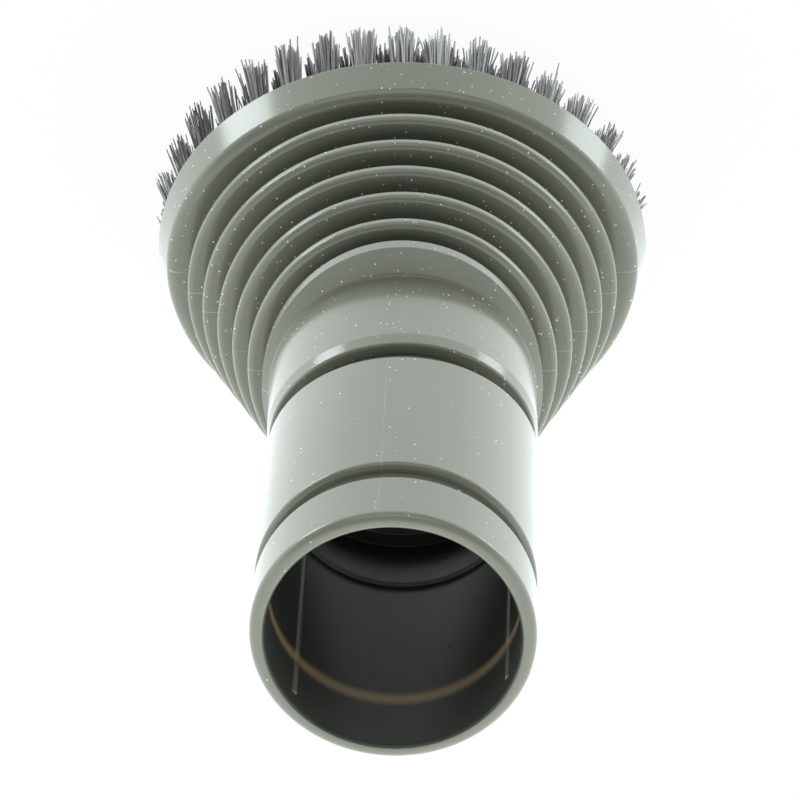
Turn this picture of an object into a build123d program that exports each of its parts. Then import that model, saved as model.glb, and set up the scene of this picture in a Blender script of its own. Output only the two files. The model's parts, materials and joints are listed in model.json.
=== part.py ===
from build123d import *
import os
from math import cos, pi, radians, sin, tan

# Vacuum dusting brush, in millimetres. It stands on its bristle tips, mouth up:
# the head's axis is Z, the floor is z = 0, and the oval is widest along X.

# Bristle ring
bristle_reach = 12.5
tuft_count = 34
tuft_hole_radius = 1.3
tuft_hole_depth = 5.0
tuft_clearance = 0.05
tuft_sides = 8
outer_row_splay = 10.0
row_spacing = 2.6
inner_row_splay = 8.0
inner_row_short = 0.3
tuft_tip_half_width = 2.1
tuft_tip_half_depth = 1.6
inner_tip_radius = 1.5
anchor_side_gap = 0.1
anchor_thickness = 0.4
anchor_height = 1.8

# Bell: a rim, five thin fins with deep grooves between them, and a collar
rim_half_width = 34.2
rim_half_depth = 29.4
rim_margin_side = 3.8
rim_margin_front = 4.8
rim_height = 6.5
rim_taper = 14.0
rim_shoulder = 1.6
fin_count = 5
first_fin_height = 11.05
fin_pitch = 5.42
fin_thickness = 1.5
fin_shoulder = 0.8
top_fin_half_width = 20.9
top_fin_half_depth = 22.5
groove_depth = 4.5
collar_height = 39.15
collar_half_width = 18.85
collar_half_depth = 21.6
collar_thickness = 1.9
collar_rise = 1.0
land_width = 5.8
cavity_top_height = 36.5

# Neck and its slanted swivel
neck_radius = 17.9
neck_length = 17.8
neck_foot_round = 0.4
neck_end_round = 0.3
bevel_length = 2.2
bevel_depth = 0.35
bevel_shoulder = 1.0
open_groove = 3.6
hub_radius = 15.4
swivel_slant = 15.2
swivel_turn = 6.0
running_gap = 0.15
duct_radius = 13.2
spigot_wall = 1.4
spigot_length = 3.2
bead_height = 0.45
bead_width = 1.0
bead_chamfer = 0.36

# Socket tube
socket_length = 44.5
joint_end_radius = 17.75
mouth_end_radius = 17.95
bore_radius = 16.0
wand_depth = 37.3
stop_step = 0.6
web_thickness = 1.6
mouth_band = 9.3
ring_groove_width = 3.2
ring_groove_depth = 1.45
ring_groove_shoulder = 0.8
lip_outer_round = 1.2
lip_inner_round = 0.6
rib_spread = 57.0
rib_half_width = 0.6
rib_height = 0.2
rib_root = 0.2
rib_start = 3.0

# Levels and places worked out from the sizes above
rim_z = bristle_reach
collar_z = rim_z + collar_height
joint_z = collar_z + neck_length
mouth_z = joint_z + socket_length
stop_z = mouth_z - lip_inner_round - wand_depth
outer_row_half_width = rim_half_width - rim_margin_side
outer_row_half_depth = rim_half_depth - rim_margin_front
top_fin_height = first_fin_height + (fin_count - 1) * fin_pitch
spigot_radius = duct_radius + spigot_wall
spigot_end = -open_groove - spigot_length
swivel_bore_radius = spigot_radius + running_gap
bead_radius = spigot_radius + bead_height
swivel_axis = Axis((0, 0, joint_z), (0, sin(radians(swivel_slant)), cos(radians(swivel_slant))))


def bell_size(height):
    """Half width and half depth of the bell's outline at a height above the rim."""
    share = height / top_fin_height
    width = rim_half_width + share * (top_fin_half_width - rim_half_width)
    depth = rim_half_depth + share * (top_fin_half_depth - rim_half_depth)
    return width, depth


def swivel_plane(offset):
    """Plane square to the swivel axis, centred where the head's axis crosses it."""
    return Plane((0, 0, joint_z + offset / cos(radians(swivel_slant))), (1, 0, 0), swivel_axis.direction)


def swivel_disc(radius, start, end):
    """Cylinder on the swivel axis between two distances from the joint plane."""
    foot = Plane(swivel_axis.position + swivel_axis.direction * start, (1, 0, 0), swivel_axis.direction)
    return extrude(foot * Circle(radius), end - start)


def oval_plate(width, depth, z, height, taper=0.0):
    """Flat oval plate whose wall leans inwards by the taper angle."""
    return extrude(Pos(0, 0, z) * Ellipse(width, depth), height, taper=taper)


def top_rim(solid):
    """The edges that bound the highest face of a plate."""
    return solid.faces().sort_by(Axis.Z)[-1].edges()


def row_places(half_width, half_depth, splay, shift):
    """Places of one tuft row: Z points down and outwards, X runs along the row."""
    row = Ellipse(half_width, half_depth).edge()
    places = []
    for index in range(tuft_count):
        # The row starts at the middle of the -Y side
        share = (0.75 + (index + shift) / tuft_count) % 1.0
        point = row @ share
        along = row % share
        outward = Vector(along.Y, -along.X, 0)
        down = Vector(0, 0, -cos(radians(splay))) + outward * sin(radians(splay))
        places.append(Plane((point.X, point.Y, rim_z), (along.X, along.Y, 0), down))
    return places


outer_places = row_places(outer_row_half_width, outer_row_half_depth, outer_row_splay, 0.0)
inner_places = row_places(
    outer_row_half_width - row_spacing, outer_row_half_depth - row_spacing, inner_row_splay, 0.5
)


def make_bell():
    """Rim, fins and collar round a tapering oval core."""
    rim = oval_plate(rim_half_width, rim_half_depth, rim_z, rim_height, rim_taper)
    bell = fillet(top_rim(rim), rim_shoulder)
    foot_width, foot_depth = bell_size(rim_height)
    core_foot = Pos(0, 0, rim_z + rim_height) * Ellipse(foot_width - groove_depth, foot_depth - groove_depth)
    head_z = rim_z + top_fin_height
    core_head = Pos(0, 0, head_z) * Ellipse(top_fin_half_width - groove_depth, top_fin_half_depth - groove_depth)
    bell += loft([core_foot, core_head])
    for index in range(fin_count):
        height = first_fin_height + index * fin_pitch
        width, depth = bell_size(height)
        fin = oval_plate(width, depth, rim_z + height, fin_thickness)
        bell += fillet(top_rim(fin), fin_shoulder)
    collar_foot_z = collar_z - collar_thickness
    bell += extrude(core_head, collar_foot_z - head_z)
    bell += oval_plate(collar_half_width, collar_half_depth, collar_foot_z, collar_thickness)
    return bell + make_collar_cone()


def make_collar_cone():
    """Sloped top of the collar, from its oval edge to the round foot of the neck."""
    edge = Pos(0, 0, collar_z) * Ellipse(collar_half_width, collar_half_depth)
    crown = Pos(0, 0, collar_z + collar_rise) * Circle(neck_radius)
    return loft([edge, crown])


def make_neck():
    """Round neck with a shallow bevel, cut off on the slant below the open groove."""
    blank = extrude(Pos(0, 0, collar_z) * Circle(neck_radius), 2 * neck_length)
    bevel_start = -open_groove - bevel_length
    keep = swivel_disc(4 * neck_radius, -8 * neck_radius, bevel_start)
    slant_stretch = neck_radius / cos(radians(swivel_slant))
    bevel_foot = swivel_plane(bevel_start) * Ellipse(neck_radius, slant_stretch)
    bevel_head = swivel_plane(-open_groove) * Ellipse(neck_radius - bevel_depth, slant_stretch - bevel_depth)
    neck = (blank & keep) + loft([bevel_foot, bevel_head])
    neck = fillet(neck.edges().filter_by(GeomType.ELLIPSE).sort_by(swivel_axis)[-2], bevel_shoulder)
    return fillet(neck.faces().sort_by(swivel_axis)[-1].edges(), neck_end_round)


def make_air_way():
    """Hollow of the head: the bell's cavity, the neck's duct and the swivel's bore."""
    mouth_width = outer_row_half_width - land_width
    mouth_depth = outer_row_half_depth - land_width
    foot = Pos(0, 0, rim_z) * Ellipse(mouth_width, mouth_depth)
    head = Pos(0, 0, rim_z + cavity_top_height) * Circle(duct_radius)
    bore_end = spigot_end - running_gap
    duct = extrude(head, joint_z - rim_z - cavity_top_height) - swivel_disc(4 * neck_radius, bore_end, 4 * neck_radius)
    bead_room = swivel_disc(bead_radius + running_gap, bore_end, spigot_end + bead_width + running_gap)
    return loft([foot, head]) + duct + swivel_disc(swivel_bore_radius, bore_end, 0) + bead_room


def make_tuft_holes():
    """Blind round holes of both rows."""
    holes = []
    for place in outer_places + inner_places:
        outside = place.offset(tuft_hole_radius) * Circle(tuft_hole_radius)
        holes.append(extrude(outside, tuft_hole_radius + tuft_hole_depth, dir=-place.z_dir))
    return holes


def make_brush_head():
    """Bell and neck as one moulding."""
    head = make_bell() + make_neck()
    rings = head.edges().filter_by(GeomType.CIRCLE)
    neck_foot = [ring for ring in rings if abs(ring.center().Z - collar_z - collar_rise) < 0.01]
    head = fillet(neck_foot, neck_foot_round)
    return head - make_air_way() - make_tuft_holes()


def bundle(place, distance, half_width, half_depth):
    """Many-sided outline of a bristle bundle, square to its own axis."""
    points = []
    for index in range(tuft_sides):
        angle = 2 * pi * (index + 0.5) / tuft_sides
        points.append((half_width * cos(angle), half_depth * sin(angle)))
    return place.offset(distance) * Polygon(*points, align=None)


def make_anchor(place):
    """Flat metal anchor at the bottom of a tuft's hole."""
    root = place.offset(-tuft_hole_depth)
    length = 2 * (tuft_hole_radius - tuft_clearance - anchor_side_gap)
    return extrude(root * Rectangle(length, anchor_thickness), anchor_height)


def make_tuft(place, splay, reach, half_width, half_depth):
    """Bundle of bristles: straight in its hole, then fanning out to a level tip."""
    root_radius = tuft_hole_radius - tuft_clearance
    root = bundle(place, -tuft_hole_depth, root_radius, root_radius)
    gate = bundle(place, 0, root_radius, root_radius)
    length = reach / cos(radians(splay)) + half_depth * tan(radians(splay))
    tip = bundle(place, length, half_width, half_depth)
    tuft = loft([root, gate], ruled=True) + loft([gate, tip], ruled=True)
    room = 4 * rim_half_width
    above_floor = Pos(0, 0, rim_z - reach) * Box(room, room, room, align=(Align.CENTER, Align.CENTER, Align.MIN))
    return (tuft & above_floor) - make_anchor(place)


def make_tufts_outer():
    """Outer row, which the brush stands on."""
    tufts = []
    for place in outer_places:
        tufts.append(
            make_tuft(place, outer_row_splay, bristle_reach, tuft_tip_half_width, tuft_tip_half_depth).solid()
        )
    return Compound(tufts)


def make_tufts_inner():
    """Inner row, staggered and a little shorter."""
    tufts = []
    for place in inner_places:
        reach = bristle_reach - inner_row_short
        tufts.append(make_tuft(place, inner_row_splay, reach, inner_tip_radius, inner_tip_radius).solid())
    return Compound(tufts)


def make_tuft_anchors():
    """One anchor for each tuft of both rows."""
    return Compound([make_anchor(place).solid() for place in outer_places + inner_places])


def make_socket_shell():
    """Slightly tapered tube with a slanted joint face, a ring groove and a rounded lip."""
    start_z = joint_z - neck_radius
    taper = (mouth_end_radius - joint_end_radius) / socket_length
    foot = Pos(0, 0, start_z) * Circle(joint_end_radius - taper * neck_radius)
    lip = Pos(0, 0, mouth_z) * Circle(mouth_end_radius)
    shell = loft([foot, lip]) & swivel_disc(4 * neck_radius, 0, 8 * neck_radius)
    shell = fillet(top_rim(shell), lip_outer_round)
    groove_z = mouth_z - mouth_band - ring_groove_width
    floor_radius = mouth_end_radius - ring_groove_depth
    ring = Pos(0, 0, groove_z) * (Circle(4 * neck_radius) - Circle(floor_radius))
    shell -= extrude(ring, ring_groove_width)
    shoulders = shell.edges().filter_by(GeomType.CIRCLE).group_by(Axis.Z)
    shoulder = [group for group in shoulders if abs(group[0].center().Z - groove_z) < 0.01][0]
    return fillet(shoulder.sort_by(SortBy.RADIUS)[-1], ring_groove_shoulder)


def make_socket_bore():
    """Bore for the wand with a fine step as its stop, and below it the way down to the slanted web."""
    bore = extrude(Pos(0, 0, stop_z) * Circle(bore_radius), mouth_z - stop_z)
    foot_z = joint_z - neck_radius
    throat = extrude(Pos(0, 0, foot_z) * Circle(bore_radius - stop_step), stop_z - foot_z)
    return bore + (throat & swivel_disc(4 * neck_radius, web_thickness, 8 * neck_radius))


def make_grip_ribs():
    """Three low ribs along the bore, from the stop nearly to the mouth, that grip the wand."""
    foot = Pos(0, 0, stop_z)
    length = mouth_z - rib_start - stop_z
    ribs = []
    for angle in (90 - rib_spread, 90 + rib_spread, 270):
        place = foot * Rot(0, 0, angle) * Pos(bore_radius + rib_half_width - rib_height, 0)
        rib = extrude(place * Circle(rib_half_width), length)
        ribs.append(rib & extrude(foot * Circle(bore_radius + rib_root), length))
    return ribs


def make_spigot():
    """Short slanted pipe with a snap bead, which turns inside the neck, and the hub that rests on it."""
    pipe = swivel_disc(spigot_radius, spigot_end, web_thickness)
    pipe += swivel_disc(hub_radius, running_gap - open_groove, web_thickness)
    bead = swivel_disc(bead_radius, spigot_end, spigot_end + bead_width)
    return pipe + chamfer(bead.edges().sort_by(swivel_axis)[0], bead_chamfer)


def make_socket_tube():
    """Tube that takes the wand, turned a little on its swivel as it was left."""
    tube = make_socket_shell() - make_socket_bore() + make_grip_ribs() + make_spigot()
    inner_edge = [e for e in top_rim(tube) if abs(e.radius - bore_radius) < 0.01]
    tube = fillet(inner_edge, lip_inner_round)
    tube -= swivel_disc(duct_radius, 2 * spigot_end, 2 * web_thickness)
    return tube.rotate(swivel_axis, swivel_turn)


def main():
    """Write each piece as its own STEP file."""
    os.makedirs("parts", exist_ok=True)
    pieces = {
        "brush_head": make_brush_head,
        "socket_tube": make_socket_tube,
        "tufts_outer": make_tufts_outer,
        "tufts_inner": make_tufts_inner,
        "tuft_anchors": make_tuft_anchors,
    }
    for name, make_piece in pieces.items():
        piece = make_piece()
        piece.label = name
        export_step(piece, f"parts/{name}.step")
        print(name, [round(v, 2) for v in piece.bounding_box().size])


main()
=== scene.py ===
# %% [markdown]
# This lesson dresses a vacuum dusting brush: a ribbed oval bell with a ring of bristles, and a
# round socket tube on a slanted swivel. Its solid pieces are already modelled at their real size,
# so the script first loads them as a fixed frame. Every piece made here goes into that same frame,
# in metres.

# %% Load the solid pieces
import json
import random
from math import cos, pi, radians, sin, sqrt

import bmesh
import bpy
from mathutils import Matrix, Vector


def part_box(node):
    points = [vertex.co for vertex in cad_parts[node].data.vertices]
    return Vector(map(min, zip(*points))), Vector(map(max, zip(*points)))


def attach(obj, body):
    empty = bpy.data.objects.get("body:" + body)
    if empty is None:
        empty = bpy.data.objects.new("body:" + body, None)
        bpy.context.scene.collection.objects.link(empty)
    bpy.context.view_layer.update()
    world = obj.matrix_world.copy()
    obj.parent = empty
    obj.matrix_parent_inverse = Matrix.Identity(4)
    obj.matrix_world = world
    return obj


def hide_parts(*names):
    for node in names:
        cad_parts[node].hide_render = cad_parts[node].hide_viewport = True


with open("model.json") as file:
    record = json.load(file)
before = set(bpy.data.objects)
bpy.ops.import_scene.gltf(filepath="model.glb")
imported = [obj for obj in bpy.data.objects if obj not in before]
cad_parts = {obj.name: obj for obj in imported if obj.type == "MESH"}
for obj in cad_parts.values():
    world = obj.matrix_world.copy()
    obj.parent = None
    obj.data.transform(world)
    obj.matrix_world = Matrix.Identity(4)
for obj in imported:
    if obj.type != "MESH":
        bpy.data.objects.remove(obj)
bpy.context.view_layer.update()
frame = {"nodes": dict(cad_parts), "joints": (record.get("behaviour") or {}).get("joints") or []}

MM = 0.001
print("solid pieces:", sorted(frame["nodes"]))

# %% [markdown]
# A few sizes of the brush are needed again, to seat the bristles in their holes and to lay the
# mould lines. They are read from the frame where a piece shows them, and named here where it
# doesn't.

# %% Sizes of the brush
head_low, head_high = (Vector(corner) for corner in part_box("brush_head"))
rim_half_width = head_high.x
rim_half_depth = head_high.y
rim_z = head_low.z
joint = frame["joints"][0]
joint_centre = Vector(joint["pos_m"])
joint_axis = Vector(joint["axis"]).normalized()
swivel_turn = radians(6.0)
turn = Matrix.Translation(joint_centre) @ Matrix.Rotation(swivel_turn, 4, joint_axis)
turn = turn @ Matrix.Translation(-joint_centre)
socket_length = 44.5 * MM
mouth_centre = turn @ (joint_centre + Vector((0, 0, socket_length)))
print("rim level", round(rim_z / MM, 2), "mm")
print("mouth centre", [round(value / MM, 2) for value in mouth_centre], "mm")

# %% [markdown]
# The photograph looks into the mouth from 30 degrees off the tube's axis, with a long lens, and
# with the mouth at the bottom of the picture. The camera therefore stands high on the -Y side and
# is turned upside down. Its axes are written out, because a plain track-to constraint keeps it
# upright.

# %% Camera
view_tilt = radians(30.0)
camera_distance = 670.6 * MM
camera_aim = Vector((0.32, -25.48, 98.73)) * MM
picture_pixels = 800
focal_pixels = 5400.0
sensor_width = 36.0
sight_limit = 20.0


def make_camera():
    """Long lens above the mouth, rolled so that the mouth is at the bottom."""
    data = bpy.data.cameras.new("camera")
    data.sensor_width = sensor_width
    data.lens = focal_pixels / picture_pixels * sensor_width
    data.clip_end = sight_limit
    camera = bpy.data.objects.new("camera", data)
    bpy.context.scene.collection.objects.link(camera)
    back = Vector((0, -sin(view_tilt), cos(view_tilt)))
    up = Vector((0, -cos(view_tilt), -sin(view_tilt)))
    right = up.cross(back)
    pose = Matrix((right, up, back)).transposed().to_4x4()
    pose.translation = camera_aim + camera_distance * back
    camera.matrix_world = pose
    bpy.context.scene.camera = camera
    return camera


camera = make_camera()
print("lens", round(camera.data.lens, 1), "mm")

# %% [markdown]
# Every finish here is built from nodes, and five small helpers keep that short. One gives a socket
# its value or its link, and the others make an empty material, add a node, do a step of
# arithmetic and mix two colours. A Mix node has sockets for numbers, vectors and colours, so the
# ones for colours are picked by their place.

# %% Helpers for node trees
mix_inputs = (0, 6, 7)
mix_output = 2


def new_material(name):
    """A material with an empty node tree."""
    material = bpy.data.materials.new(name)
    material.use_nodes = True
    material.node_tree.nodes.clear()
    return material


def add(tree, kind, **values):
    """Adds one node. A value named after a socket goes to that socket, any other to the node."""
    node = tree.nodes.new(kind)
    for key, value in values.items():
        name = key.replace("_", " ")
        if name in node.inputs:
            node.inputs[name].default_value = value
        else:
            setattr(node, key, value)
    return node


def feed(tree, socket, value):
    """Links a socket to another one, or gives it a plain value."""
    if isinstance(value, bpy.types.NodeSocket):
        tree.links.new(value, socket)
    else:
        socket.default_value = value


def math(tree, operation, *values):
    """One step of arithmetic on sockets or numbers."""
    node = add(tree, "ShaderNodeMath", operation=operation)
    for socket, value in zip(node.inputs, values):
        feed(tree, socket, value)
    return node.outputs[0]


def mix_colour(tree, factor, first, second):
    """Mixes two colours, each a socket or a value."""
    node = add(tree, "ShaderNodeMix", data_type="RGBA")
    for number, value in zip(mix_inputs, (factor, first, second)):
        feed(tree, node.inputs[number], value)
    return node.outputs[mix_output]


print("node helpers ready")

# %% [markdown]
# The floor and the light come before the finishes, so that each finish can be judged as it is
# made. The picture has a pure white ground, two soft boxes to the left and right of the bell, and
# little light from the camera's own side.
#
# The ground is a matt white floor. The camera sees most of it as plain white, and a small share of
# the real floor stays, which keeps the shadow. Only the camera sees it, so the soft boxes can
# stand lower than the bristles, as behind a translucent table top, and still reach the brush.

# %% Floor
floor_half = 3.0
floor_colour = (0.86, 0.86, 0.86, 1)
floor_white_share = 0.95
white = (1, 1, 1, 1)


def make_floor():
    """Pale floor that the camera sees as white, with a faint shadow."""
    bm = bmesh.new()
    bmesh.ops.create_grid(bm, x_segments=1, y_segments=1, size=floor_half)
    mesh = bpy.data.meshes.new("floor")
    bm.to_mesh(mesh)
    bm.free()
    floor = bpy.data.objects.new("floor", mesh)
    bpy.context.scene.collection.objects.link(floor)
    material = new_material("white_floor")
    tree = material.node_tree
    matt = add(tree, "ShaderNodeBsdfDiffuse", Color=floor_colour)
    glow = add(tree, "ShaderNodeEmission", Color=white, Strength=1.0)
    path = add(tree, "ShaderNodeLightPath")
    share = math(tree, "MULTIPLY", path.outputs["Is Camera Ray"], floor_white_share)
    mix = add(tree, "ShaderNodeMixShader")
    out = add(tree, "ShaderNodeOutputMaterial")
    for source, socket in zip((share, matt.outputs[0], glow.outputs[0]), mix.inputs):
        tree.links.new(source, socket)
    tree.links.new(mix.outputs[0], out.inputs["Surface"])
    mesh.materials.append(material)
    floor.visible_glossy = False
    floor.visible_diffuse = False
    floor.visible_shadow = False


make_floor()
print("floor", 2 * floor_half, "m wide")

# %% [markdown]
# The surroundings are white paper that glows most behind and below the brush, and falls off evenly
# towards the dim room in front. That one soft change gives the grooves and the bore their dark
# look and the tube its bright sides. A pale panel over the -Y side adds the soft streak along the
# middle of each wall. Light Path keeps it all plain white where the camera looks at it.
#
# Room and panel are each a direction. How far a ray points that way is the cosine between the two,
# which a Map Range turns into a share.

# %% World
paper_light = 1.9
toward_room = (0.0, -0.906, 0.423)
room_light = 0.05
room_cosines = (0.3, 0.84)
room_squeeze = 0.45
toward_panel = (0.0, -0.99, 0.14)
panel_light = 1.6
panel_cosines = (0.9, 0.985)
panel_squeeze = 0.6
light_tint = (0.95, 1.0, 1.02, 1)


def direction_share(tree, direction, toward, cosines, squeeze):
    """Share that rises from 0 to 1 between two cosines. A small squeeze widens it along X."""
    narrow = add(tree, "ShaderNodeVectorMath", operation="MULTIPLY")
    narrow.inputs[1].default_value = (squeeze, 1, 1)
    tree.links.new(direction, narrow.inputs[0])
    unit = add(tree, "ShaderNodeVectorMath", operation="NORMALIZE")
    tree.links.new(narrow.outputs["Vector"], unit.inputs[0])
    facing = add(tree, "ShaderNodeVectorMath", operation="DOT_PRODUCT")
    facing.inputs[1].default_value = toward
    tree.links.new(unit.outputs["Vector"], facing.inputs[0])
    rise = add(tree, "ShaderNodeMapRange", interpolation_type="SMOOTHSTEP")
    rise.inputs["From Min"].default_value, rise.inputs["From Max"].default_value = cosines
    tree.links.new(facing.outputs["Value"], rise.inputs["Value"])
    return rise.outputs[0]


def make_world():
    """White surroundings with a dim patch on the photographer's side and a pale panel."""
    world = bpy.data.worlds.new("studio")
    world.use_nodes = True
    tree = world.node_tree
    back = tree.nodes["Background"]
    direction = add(tree, "ShaderNodeTexCoord").outputs["Generated"]
    room = direction_share(tree, direction, toward_room, room_cosines, room_squeeze)
    panel = direction_share(tree, direction, toward_panel, panel_cosines, panel_squeeze)
    lost = math(tree, "MULTIPLY", room, paper_light - room_light)
    light = math(tree, "SUBTRACT", paper_light, lost)
    light = math(tree, "ADD", light, math(tree, "MULTIPLY", panel, panel_light))
    path = add(tree, "ShaderNodeLightPath")
    seen = path.outputs["Is Camera Ray"]
    hidden = math(tree, "SUBTRACT", 1.0, seen)
    strength = math(tree, "ADD", math(tree, "MULTIPLY", light, hidden), seen)
    tree.links.new(strength, back.inputs["Strength"])
    tree.links.new(mix_colour(tree, seen, light_tint, white), back.inputs["Color"])
    bpy.context.scene.world = world


make_world()
bpy.context.scene.view_settings.view_transform = "Standard"
print("world: paper", paper_light, "room", room_light, "panel", panel_light)

# %% [markdown]
# Two square soft boxes stand left and right of the brush, below the table top. They give the long
# highlights on the rim, the grooves and the lip.

# %% Soft boxes
left_direction = Vector((0.684, -0.445, -0.578))
right_direction = Vector((-0.761, -0.26, -0.6))
box_distance = 0.95
box_size = 0.29
left_power = 1.9
right_power = 1.25
box_tint = (0.9, 0.98, 1.0)


def make_soft_box(name, direction, power):
    """Square lamp that faces the bell from a direction."""
    data = bpy.data.lights.new(name, "AREA")
    data.shape = "SQUARE"
    data.size = box_size
    data.energy = power
    data.color = box_tint
    lamp = bpy.data.objects.new(name, data)
    bpy.context.scene.collection.objects.link(lamp)
    lamp.location = direction.normalized() * box_distance + Vector((0, 0, rim_z))
    lamp.rotation_euler = (-direction).to_track_quat("-Z", "Y").to_euler()
    lamp.visible_camera = False


make_soft_box("left_box", left_direction, left_power)
make_soft_box("right_box", right_direction, right_power)
print("soft boxes", box_size, "m wide at", box_distance, "m")

# %% [markdown]
# Both mouldings are the same olive-grey plastic, and three effects on it are used by both. Each of
# them is a node group, built once and placed with its own values. Fine white specks of dust lie
# all over the plastic, and they are the first. A Voronoi texture gives one random point in each
# cell, and only some of the cells keep theirs.

# %% Dust specks as a node group
vector_socket = "NodeSocketVector"
number_socket = "NodeSocketFloat"


def new_group(name, vectors, numbers, outputs):
    """A node group with vector and number inputs and with outputs, and its two end nodes."""
    group = bpy.data.node_groups.new(name, "ShaderNodeTree")
    for title in vectors:
        group.interface.new_socket(title, in_out="INPUT", socket_type=vector_socket)
    for title, value in numbers:
        socket = group.interface.new_socket(title, in_out="INPUT", socket_type=number_socket)
        socket.default_value = value
    for title, kind in outputs:
        group.interface.new_socket(title, in_out="OUTPUT", socket_type=kind)
    return group, add(group, "NodeGroupInput"), add(group, "NodeGroupOutput")


def make_specks_group():
    """Round specks. Size is a share of a cell, and Amount is the share of cells that have one."""
    numbers = (("Cells", 900.0), ("Size", 0.12), ("Amount", 0.2))
    outputs = (("Mask", number_socket),)
    group, enter, leave = new_group("dust_specks", ("Vector",), numbers, outputs)
    cells = add(group, "ShaderNodeTexVoronoi")
    group.links.new(enter.outputs["Vector"], cells.inputs["Vector"])
    group.links.new(enter.outputs["Cells"], cells.inputs["Scale"])
    chance = add(group, "ShaderNodeSeparateColor")
    group.links.new(cells.outputs["Color"], chance.inputs[0])
    kept = math(group, "LESS_THAN", chance.outputs[0], enter.outputs["Amount"])
    radius = math(group, "MULTIPLY", chance.outputs[1], enter.outputs["Size"])
    near = math(group, "LESS_THAN", cells.outputs["Distance"], radius)
    group.links.new(math(group, "MULTIPLY", kept, near), leave.inputs["Mask"])
    return group


specks_group = make_specks_group()


def specks(tree, vector, cells, size, amount):
    """Places the speck effect in a material and returns its mask."""
    node = add(tree, "ShaderNodeGroup", node_tree=specks_group)
    for name, value in (("Cells", cells), ("Size", size), ("Amount", amount)):
        node.inputs[name].default_value = value
    tree.links.new(vector, node.inputs["Vector"])
    return node.outputs["Mask"]


print("node group", specks_group.name)

# %% [markdown]
# The second effect is the mould's own mark: a hair-thin raised line where the two halves of the
# mould met. On the bell it runs along its left and right sides, on the tube along its top and
# bottom. It is a thin slab through the piece, so one coordinate is compared with a small width. A
# slow noise makes the line come and go.

# %% Mould line as a node group
line_noise_scale = 260.0
line_noise_start = 0.3
line_noise_full = 0.6


def make_line_group():
    """Mask that is 1 inside a thin slab around zero, broken up by noise."""
    numbers = (("Offset", 0.0), ("Half Width", 0.05 * MM))
    outputs = (("Mask", number_socket),)
    group, enter, leave = new_group("mould_line", ("Vector",), numbers, outputs)
    size = math(group, "ABSOLUTE", enter.outputs["Offset"])
    inside = math(group, "LESS_THAN", size, enter.outputs["Half Width"])
    noise = add(group, "ShaderNodeTexNoise", Scale=line_noise_scale, Detail=1.0)
    group.links.new(enter.outputs["Vector"], noise.inputs["Vector"])
    strong = add(group, "ShaderNodeMapRange")
    strong.inputs["From Min"].default_value = line_noise_start
    strong.inputs["From Max"].default_value = line_noise_full
    group.links.new(noise.outputs[0], strong.inputs["Value"])
    group.links.new(math(group, "MULTIPLY", inside, strong.outputs[0]), leave.inputs["Mask"])
    return group


line_group = make_line_group()


def mould_line(tree, vector, offset, half_width):
    """Places the mould line in a material and returns its mask."""
    node = add(tree, "ShaderNodeGroup", node_tree=line_group)
    node.inputs["Half Width"].default_value = half_width
    tree.links.new(vector, node.inputs["Vector"])
    tree.links.new(offset, node.inputs["Offset"])
    return node.outputs["Mask"]


print("node group", line_group.name)

# %% [markdown]
# The third effect finds the crisp outer edges. The colour is lightened there as a painted
# highlight, and the rounded normal lets each edge catch a thin line of light too. A Bevel node
# gives the normal as if the edge were rounded, so wherever that differs from the true normal there
# is an edge.

# %% Painted edge highlights as a node group
edge_width = 0.14 * MM
edge_cosine_start = 0.985
edge_cosine_full = 0.8


def make_edge_group():
    """Rounded normal, and a mask that is 1 at sharp edges."""
    outputs = (("Mask", number_socket), ("Normal", vector_socket))
    group, enter, leave = new_group("pale_edge_highlights", (), (("Width", edge_width),), outputs)
    rounded = add(group, "ShaderNodeBevel", samples=6)
    group.links.new(enter.outputs["Width"], rounded.inputs["Radius"])
    true_normal = add(group, "ShaderNodeNewGeometry").outputs["Normal"]
    same = add(group, "ShaderNodeVectorMath", operation="DOT_PRODUCT")
    group.links.new(rounded.outputs[0], same.inputs[0])
    group.links.new(true_normal, same.inputs[1])
    edge = add(group, "ShaderNodeMapRange")
    edge.inputs["From Min"].default_value = edge_cosine_start
    edge.inputs["From Max"].default_value = edge_cosine_full
    group.links.new(same.outputs["Value"], edge.inputs["Value"])
    group.links.new(edge.outputs[0], leave.inputs["Mask"])
    group.links.new(rounded.outputs[0], leave.inputs["Normal"])
    return group


edge_group = make_edge_group()
print("node group", edge_group.name)

# %% [markdown]
# Now the plastic itself. Its colour drifts a little between two shades. Both mouldings start the
# same way, so one helper makes that start, and another one puts a finish on a solid piece.

# %% Start of the plastic
plastic_colour = (0.216, 0.228, 0.174, 1)
plastic_deep = (0.192, 0.202, 0.15, 1)


def plastic_base(name):
    """The material, its tree and coordinates, the drifting colour and the shader."""
    material = new_material(name)
    tree = material.node_tree
    place = add(tree, "ShaderNodeTexCoord").outputs["Object"]
    drift = add(tree, "ShaderNodeTexNoise", Scale=45.0, Detail=3.0)
    tree.links.new(place, drift.inputs["Vector"])
    colour = mix_colour(tree, drift.outputs[0], plastic_deep, plastic_colour)
    shader = add(tree, "ShaderNodeBsdfPrincipled", IOR=1.5)
    out = add(tree, "ShaderNodeOutputMaterial")
    tree.links.new(shader.outputs[0], out.inputs["Surface"])
    return material, tree, place, colour, shader


def dress(node, material):
    """Gives one solid piece its finish."""
    mesh = frame["nodes"][node].data
    mesh.materials.clear()
    mesh.materials.append(material)


print("plastic shades", plastic_deep[:3], plastic_colour[:3])
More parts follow.
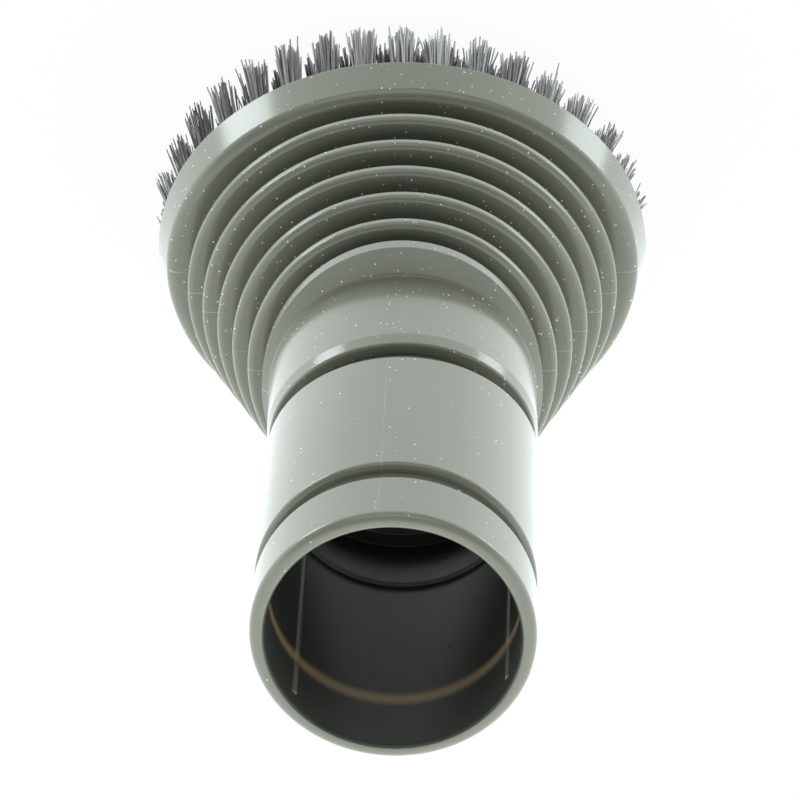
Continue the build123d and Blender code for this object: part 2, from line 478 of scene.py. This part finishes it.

# %% [markdown]
# Over that colour lie the mould line, the pale edges with their painted highlight, the painted
# shade of the deep grooves, and the dust. An Ambient Occlusion node finds the grooves, since it
# measures how open the space in front of a point is. Faint flow marks break the gloss, dust is
# matt, and a very fine bump keeps the highlights from looking like glass.

# %% Finish of the plastic
line_colour = (0.46, 0.49, 0.44, 1)
line_half_width = 0.045 * MM
edge_highlight_colour = (0.5, 0.53, 0.49, 1)
edge_highlight_share = 0.65
painted_groove_shade_colour = (0.06, 0.056, 0.04, 1)
painted_shade_reach = 7.0 * MM
painted_shade_lowest_share = 0.25
open_low = 0.2
open_high = 0.62
speck_colour = (0.85, 0.87, 0.85, 1)
fine_cells, fine_size, fine_amount = 1250.0, 0.17, 0.7
coarse_cells, coarse_size, coarse_amount = 430.0, 0.07, 0.42
gloss_low = 0.13
gloss_high = 0.24
bore_roughness = 0.42
dust_roughness = 0.9
skin_height = 0.05
bump_strength = 0.35
bump_depth = 0.05 * MM


def plastic_finish(tree, place, colour, line, shader, dusty, dusty_place, painted_shade_place):
    """Adds colour, gloss and bump. The two places are masks of where dust and painted shade may
    lie.
    """
    colour = mix_colour(tree, line, colour, line_colour)
    edges = add(tree, "ShaderNodeGroup", node_tree=edge_group, Width=edge_width)
    # Painted highlight: the colour is lightened along sharp edges.
    painted_edge_highlight = math(tree, "MULTIPLY", edges.outputs["Mask"], edge_highlight_share)
    colour = mix_colour(tree, painted_edge_highlight, colour, edge_highlight_colour)
    # Painted shade: where Ambient Occlusion finds a deep groove, the colour is mixed towards a
    # near-black brown.
    open_air = add(tree, "ShaderNodeAmbientOcclusion", samples=4, Distance=painted_shade_reach)
    groove_openness = add(tree, "ShaderNodeMapRange", To_Min=painted_shade_lowest_share, To_Max=1.0)
    groove_openness.inputs["From Min"].default_value = open_low
    groove_openness.inputs["From Max"].default_value = open_high
    tree.links.new(open_air.outputs["AO"], groove_openness.inputs["Value"])
    elsewhere = math(tree, "SUBTRACT", 1.0, painted_shade_place)
    exposed = math(tree, "MAXIMUM", groove_openness.outputs[0], elsewhere)
    colour = mix_colour(tree, exposed, painted_groove_shade_colour, colour)
    fine = specks(tree, place, fine_cells, fine_size, fine_amount * dusty)
    coarse = specks(tree, place, coarse_cells, coarse_size, coarse_amount * dusty)
    dust = math(tree, "MULTIPLY", math(tree, "MAXIMUM", fine, coarse), dusty_place)
    colour = mix_colour(tree, dust, colour, speck_colour)
    tree.links.new(colour, shader.inputs["Base Color"])
    flow = add(tree, "ShaderNodeTexNoise", Scale=120.0, Detail=4.0)
    tree.links.new(place, flow.inputs["Vector"])
    gloss = add(tree, "ShaderNodeMapRange", To_Min=gloss_low, To_Max=gloss_high)
    tree.links.new(flow.outputs[0], gloss.inputs["Value"])
    bore = math(tree, "SUBTRACT", 1.0, dusty_place)
    matt = math(tree, "MULTIPLY", bore, bore_roughness)
    matt = math(tree, "MAXIMUM", matt, math(tree, "MULTIPLY", dust, dust_roughness))
    rough = math(tree, "MAXIMUM", gloss.outputs[0], matt)
    tree.links.new(rough, shader.inputs["Roughness"])
    skin = add(tree, "ShaderNodeTexNoise", Scale=2600.0, Detail=2.0)
    tree.links.new(place, skin.inputs["Vector"])
    raised = math(tree, "MAXIMUM", dust, line)
    height = math(tree, "ADD", math(tree, "MULTIPLY", skin.outputs[0], skin_height), raised)
    bump = add(tree, "ShaderNodeBump", Strength=bump_strength, Distance=bump_depth)
    tree.links.new(height, bump.inputs["Height"])
    tree.links.new(edges.outputs["Normal"], bump.inputs["Normal"])
    tree.links.new(bump.outputs[0], shader.inputs["Normal"])


print("edges", edge_width / MM, "mm wide, grooves shaded over", painted_shade_reach / MM, "mm")

# %% [markdown]
# The bell has its mould line in the plane y = 0, at its left and right. Only the bell has deep
# grooves, so their painted shade ends at the collar and leaves the neck as light as it is.

# %% Plastic of the head
bell_top = 51.6 * MM


def make_head_plastic():
    """Plastic of the bell and the neck, dusty all over."""
    material, tree, place, colour, shader = plastic_base("moulded_head")
    axes = add(tree, "ShaderNodeSeparateXYZ")
    tree.links.new(place, axes.inputs[0])
    line = mould_line(tree, place, axes.outputs["Y"], line_half_width)
    on_bell = math(tree, "LESS_THAN", axes.outputs["Z"], bell_top)
    plastic_finish(tree, place, colour, line, shader, 1.0, 1.0, on_bell)
    return material


head_plastic = make_head_plastic()
dress("brush_head", head_plastic)
print("finish of the head:", head_plastic.name)

# %% [markdown]
# The tube was left turned by 6 degrees on its swivel, so its masks are laid in its own axes, which
# are turned back by as much. Distance from its axis tells the bore from the outer wall. A second
# test keeps the bore's painted shade above the joint, because the hub below it is just as narrow.

# %% Masks of the tube
thin_wall_top = 9.4 * MM
thin_wall_width = 3.0 * MM
ring_start = 0.55 * thin_wall_width
ring_full = 0.1 * thin_wall_width
bore_limit = 16.3 * MM


def tube_axes(tree, place):
    """The tube's own X, Y and Z."""
    own = add(tree, "ShaderNodeVectorRotate", rotation_type="AXIS_ANGLE", Axis=joint_axis)
    own.inputs["Center"].default_value = joint_centre
    own.inputs["Angle"].default_value = -swivel_turn
    tree.links.new(place, own.inputs["Vector"])
    axes = add(tree, "ShaderNodeSeparateXYZ")
    tree.links.new(own.outputs[0], axes.inputs[0])
    return axes.outputs


def bore_masks(tree, place, axes):
    """Distance from the axis, the mask of the bore, and the mask of the thin wall's level."""
    middle = joint_centre.z + socket_length - thin_wall_top - thin_wall_width / 2
    off_middle = math(tree, "ABSOLUTE", math(tree, "SUBTRACT", axes["Z"], middle))
    band = add(tree, "ShaderNodeMapRange", From_Min=ring_start, From_Max=ring_full)
    tree.links.new(off_middle, band.inputs["Value"])
    across = math(tree, "POWER", axes["X"], 2.0)
    deep = math(tree, "POWER", axes["Y"], 2.0)
    from_axis = math(tree, "SQRT", math(tree, "ADD", across, deep))
    along_swivel = add(tree, "ShaderNodeVectorMath", operation="DOT_PRODUCT")
    along_swivel.inputs[1].default_value = joint_axis
    tree.links.new(place, along_swivel.inputs[0])
    joint_level = joint_centre.dot(joint_axis)
    above_joint = math(tree, "GREATER_THAN", along_swivel.outputs["Value"], joint_level)
    near_axis = math(tree, "LESS_THAN", from_axis, bore_limit)
    inside = math(tree, "MULTIPLY", near_axis, above_joint)
    return from_axis, inside, band.outputs[0]


def spot(tree, place, centre, radius):
    """Mask of one small round mark at a place on the piece."""
    away = add(tree, "ShaderNodeVectorMath", operation="DISTANCE")
    away.inputs[1].default_value = centre
    tree.links.new(place, away.inputs[0])
    return math(tree, "LESS_THAN", away.outputs["Value"], radius)


print("tan ring", (thin_wall_top + thin_wall_width / 2) / MM, "mm below the mouth")

# %% [markdown]
# The bore is given painted shade, darker still where it narrows behind the stop, while its three
# ribs are left out of that painted shade and keep the outside's colour. Behind the ring groove the
# wall is so thin that light comes through it, and that light is painted as a tan ring that glows a
# little. Two small dark marks are left by use: one in the bore and one chip in the lip.

# %% Plastic of the tube
bore_painted_shade_colour = (0.034, 0.033, 0.03, 1)
bore_painted_shade_share = 0.82
throat_painted_shade_share = 0.12
rib_inner_limit = 15.5 * MM
rib_outer_limit = 15.95 * MM
thin_wall_colour = (0.5, 0.36, 0.2, 1)
thin_wall_share = 0.6
thin_wall_glow = 0.07
no_glow = (0, 0, 0, 1)
tube_dust = 0.22
tube_line_share = 0.45
mark_colour = (0.012, 0.012, 0.011, 1)
bore_mark = Vector((-6.19, 14.5, 92.87)) * MM
bore_mark_radius = 0.3 * MM
lip_chip = Vector((-9.71, -12.05, 113.75)) * MM
lip_chip_radius = 0.4 * MM


def make_tube_plastic():
    """Plastic of the socket tube, with painted shade in its bore, ribs left out of it, a tan ring
    of light and marks.
    """
    material, tree, place, colour, shader = plastic_base("moulded_tube")
    axes = tube_axes(tree, place)
    from_axis, inside, band = bore_masks(tree, place, axes)
    line = mould_line(tree, place, axes["X"], line_half_width)
    outside = math(tree, "SUBTRACT", 1.0, inside)
    line = math(tree, "MULTIPLY", line, math(tree, "MULTIPLY", outside, tube_line_share))
    # Painted shade: the bore, and more so its narrow throat, is mixed towards near-black, while
    # the ribs are left out.
    over_throat = math(tree, "GREATER_THAN", from_axis, rib_inner_limit)
    under_wall = math(tree, "LESS_THAN", from_axis, rib_outer_limit)
    rib = math(tree, "MULTIPLY", under_wall, over_throat)
    shade = math(tree, "MULTIPLY", math(tree, "SUBTRACT", 1.0, rib), inside)
    throat = math(tree, "SUBTRACT", 1.0, over_throat)
    depth = math(tree, "ADD", bore_painted_shade_share, math(tree, "MULTIPLY", throat_painted_shade_share, throat))
    colour = mix_colour(tree, math(tree, "MULTIPLY", shade, depth), colour, bore_painted_shade_colour)
    ring = math(tree, "MULTIPLY", band, inside)
    tan = math(tree, "MULTIPLY", ring, thin_wall_share)
    colour = mix_colour(tree, tan, colour, thin_wall_colour)
    glow = mix_colour(tree, ring, no_glow, thin_wall_colour)
    tree.links.new(glow, shader.inputs["Emission Color"])
    shader.inputs["Emission Strength"].default_value = thin_wall_glow
    mark = spot(tree, place, bore_mark, bore_mark_radius)
    chip = spot(tree, place, lip_chip, lip_chip_radius)
    colour = mix_colour(tree, math(tree, "MAXIMUM", mark, chip), colour, mark_colour)
    plastic_finish(tree, place, colour, line, shader, tube_dust, outside, 0.0)
    return material


tube_plastic = make_tube_plastic()
dress("socket_tube", tube_plastic)
print("finish of the tube:", tube_plastic.name)

# %% [markdown]
# Each bundle of bristles is held in its hole by a small flat anchor of bright wire. The anchors
# sit at the bottom of the holes, and get a plain brushed metal.

# %% Anchor metal
wire_colour = (0.6, 0.59, 0.56, 1)
wire_gloss_low = 0.25
wire_gloss_high = 0.5


def make_anchor_metal():
    """Drawn wire with a finely broken gloss."""
    material = new_material("anchor_wire")
    tree = material.node_tree
    place = add(tree, "ShaderNodeTexCoord").outputs["Object"]
    streaks = add(tree, "ShaderNodeTexNoise", Scale=1500.0, Detail=2.0)
    tree.links.new(place, streaks.inputs["Vector"])
    gloss = add(tree, "ShaderNodeMapRange", To_Min=wire_gloss_low, To_Max=wire_gloss_high)
    tree.links.new(streaks.outputs[0], gloss.inputs["Value"])
    shader = add(tree, "ShaderNodeBsdfPrincipled", Base_Color=wire_colour, Metallic=1.0)
    tree.links.new(gloss.outputs[0], shader.inputs["Roughness"])
    out = add(tree, "ShaderNodeOutputMaterial")
    tree.links.new(shader.outputs[0], out.inputs["Surface"])
    return material


anchor_metal = make_anchor_metal()
dress("tuft_anchors", anchor_metal)
print("finish of the anchors:", anchor_metal.name)

# %% [markdown]
# The bristles are stiff nylon hairs, about a quarter of a millimetre thick, folded in half and
# pulled into the holes as bundles. Each bundle is round at its hole and fans out towards the tips.
# One hair is a slim four-sided cone cut into lengths, and every other hair is a copy of it that is
# bent its own way.

# %% One bristle
random.seed(7)
hair_radius = 0.13 * MM
tip_share = 0.8
hair_cuts = 3
hair_root = 2.0 * MM


def make_hair_mesh():
    """One straight hair of unit length along +Z, with a few rings to bend it at."""
    bm = bmesh.new()
    tip_radius = hair_radius * tip_share
    bmesh.ops.create_cone(
        bm, cap_ends=True, segments=4, radius1=hair_radius, radius2=tip_radius, depth=1.0
    )
    # The cone is made around its middle, so half its length puts its foot at zero.
    bmesh.ops.translate(bm, verts=bm.verts, vec=(0, 0, 0.5))
    long_edges = [edge for edge in bm.edges if edge.calc_length() > 0.5]
    bmesh.ops.subdivide_edges(bm, edges=long_edges, cuts=hair_cuts)
    mesh = bpy.data.meshes.new("one_hair")
    bm.to_mesh(mesh)
    bm.free()
    return mesh


hair_mesh = make_hair_mesh()
print("one bristle has", len(hair_mesh.vertices), "points")

# %% [markdown]
# The holes are spaced evenly along two ovals. Equal steps of the angle would crowd the holes at
# the narrow ends, so the oval is walked in short steps and a hole is set each time the next share
# of its length has gone by. The inner row is shifted by half a step, so that its tufts show
# between the outer ones.

# %% Places of the tufts
tuft_count = 34
outer_row = (30.4 * MM, 24.6 * MM)
row_spacing = 2.6 * MM
inner_row = (outer_row[0] - row_spacing, outer_row[1] - row_spacing)
walk_steps = 3600


def row_places(half_width, half_depth, shift):
    """Points and outward directions, evenly spaced from the middle of the -Y side."""
    angles = [-pi / 2 + 2 * pi * step / walk_steps for step in range(walk_steps + 1)]
    points = [Vector((half_width * cos(a), half_depth * sin(a), rim_z)) for a in angles]
    lengths = [0.0]
    for before, after in zip(points, points[1:]):
        lengths.append(lengths[-1] + (after - before).length)
    places = []
    step = 0
    for index in range(tuft_count):
        wanted = (index + shift) / tuft_count * lengths[-1]
        while lengths[step] < wanted:
            step += 1
        along = Vector((1, 0, 0))
        if step:
            along = (points[step + 1] - points[step - 1]).normalized()
        places.append((points[step], Vector((along.y, -along.x, 0))))
    return places


outer_places = row_places(*outer_row, 0.0)
inner_places = row_places(*inner_row, 0.5)
print("tufts:", len(outer_places), "outer,", len(inner_places), "inner")

# %% [markdown]
# Each copy of the hair is bent along its own curve. It leaves the hole inside its bundle, fans out
# more towards the tip, and leans a little the way the bristles were set by use. A few stray hairs
# fan out much wider. No tip goes far past the rim or below the floor.

# %% Bend one hair
fan_power = 1.4
tip_reach = 0.8 * MM


def bend_hair(verts, foot, axis, side, out, fan, lean, length):
    """Moves one hair's points from the straight template to its own curve."""
    for vert in verts:
        share = vert.co.z
        spread = fan * share**fan_power
        path = axis * (share * length) + side * spread.x + out * spread.y + lean * share**2
        vert.co = foot + path + side * vert.co.x + out * vert.co.y


def tip_room(point):
    """Keeps a point within reach of the rim and no lower than the floor."""
    side_limit = rim_half_width + tip_reach
    front_limit = rim_half_depth + tip_reach
    point.x = max(-side_limit, min(side_limit, point.x))
    point.y = max(-front_limit, min(front_limit, point.y))
    point.z = max(point.z, 0.0)


print("tips stay within", tip_reach / MM, "mm of the rim")

# %% [markdown]
# A whole row of bundles becomes one piece, so that it stays light to handle. Light and dark hairs
# are mixed, and each hair keeps a shade of its own in an attribute of its points. At the front the
# hairs of the outer row are lighter, at the sides darker.

# %% Bundles of one row
bundle_radius = 1.15 * MM
sideways_set = 0.05
outward_set = 0.55 * MM
side_scatter = 0.35
outward_scatter = 0.3
length_scatter = 0.4
stray_share = 0.05
stray_spread = 3.5
front_power = 3
tuft_shade_scatter = 0.12


def make_tufts(name, places, hairs, splay, fan_size, shades):
    """All bundles of one row. Shades are the base, each hair's scatter and the front's share."""
    base_shade, hair_shade_scatter, front_shade = shades
    bm = bmesh.new()
    shade_values = []
    for point, outward in places:
        side = Vector((0, 0, 1)).cross(outward)
        axis = (Vector((0, 0, -1)) * cos(splay) + outward * sin(splay)).normalized()
        out = side.cross(axis)
        lean = Vector((0, -sideways_set * point.x, 0)) + outward * outward_set
        front = max(0.0, -outward.y) ** front_power
        off_base = random.uniform(-tuft_shade_scatter, tuft_shade_scatter)
        tuft_shade = base_shade + front_shade * front + off_base
        for _ in range(hairs):
            angle = random.uniform(0, 2 * pi)
            radius = bundle_radius * sqrt(random.random())
            offset = side * (radius * cos(angle)) + out * (radius * sin(angle))
            foot = point - axis * hair_root + offset
            ray = Vector((cos(angle) * fan_size[0], sin(angle) * fan_size[1]))
            spread = ray * (radius / bundle_radius)
            wild = stray_spread if random.random() < stray_share else 1.0
            bent = Vector((random.gauss(0, side_scatter), random.gauss(0, outward_scatter)))
            spread += bent * (MM * wild)
            shorter = abs(random.gauss(0, length_scatter)) * MM
            length = (rim_z + hair_root) / cos(splay) - shorter
            before = len(bm.verts)
            bm.from_mesh(hair_mesh)
            bm.verts.ensure_lookup_table()
            bend_hair(bm.verts[before:], foot, axis, side, out, spread, lean, length)
            shade = random.gauss(tuft_shade, hair_shade_scatter)
            shade_values.append(min(1.0, max(0.0, shade)))
    for vert in bm.verts:
        tip_room(vert.co)
    mesh = bpy.data.meshes.new(name)
    bm.to_mesh(mesh)
    bm.free()
    shade = mesh.attributes.new("shade", "FLOAT", "POINT")
    per_hair = len(hair_mesh.vertices)
    shade.data.foreach_set("value", [value for value in shade_values for _ in range(per_hair)])
    tufts = bpy.data.objects.new(name, mesh)
    bpy.context.scene.collection.objects.link(tufts)
    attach(tufts, "head")
    print(name, len(shade_values), "hairs,", len(mesh.polygons), "faces")
    return tufts


# %% [markdown]
# The hairs' material only has to turn each hair's shade into a grey. The outer row splays more and
# has more hairs. The two rows then stand for the solid bundles, which stay hidden.

# %% Two rows of bristles
dark_hair = (0.012, 0.013, 0.013, 1)
light_hair = (0.52, 0.52, 0.505, 1)
outer_hairs, outer_splay = 64, radians(10.0)
outer_fan = (0.75 * MM, 0.6 * MM)
outer_shades = (0.18, 0.26, 0.46)
# The inner row is darker: partly dark nylon, partly painted shade for the row that stands behind
# the outer one.
inner_hairs, inner_splay = 56, radians(8.0)
inner_fan = (0.8 * MM, 0.8 * MM)
inner_shades = (0.1, 0.12, 0.0)


def make_bristle_material():
    """Nylon hair: a dark and a light grey, mixed by each hair's own shade."""
    material = new_material("nylon_bristle")
    tree = material.node_tree
    shade = add(tree, "ShaderNodeAttribute", attribute_name="shade")
    colour = mix_colour(tree, shade.outputs["Fac"], dark_hair, light_hair)
    shader = add(tree, "ShaderNodeBsdfPrincipled", Roughness=0.38, IOR=1.53)
    out = add(tree, "ShaderNodeOutputMaterial")
    tree.links.new(colour, shader.inputs["Base Color"])
    tree.links.new(shader.outputs[0], out.inputs["Surface"])
    return material


bristle_material = make_bristle_material()
outer_tufts = make_tufts(
    "outer_bristles", outer_places, outer_hairs, outer_splay, outer_fan, outer_shades
)
inner_tufts = make_tufts(
    "inner_bristles", inner_places, inner_hairs, inner_splay, inner_fan, inner_shades
)
for tufts, node in ((outer_tufts, "tufts_outer"), (inner_tufts, "tufts_inner")):
    tufts.data.materials.append(bristle_material)
    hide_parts(node)
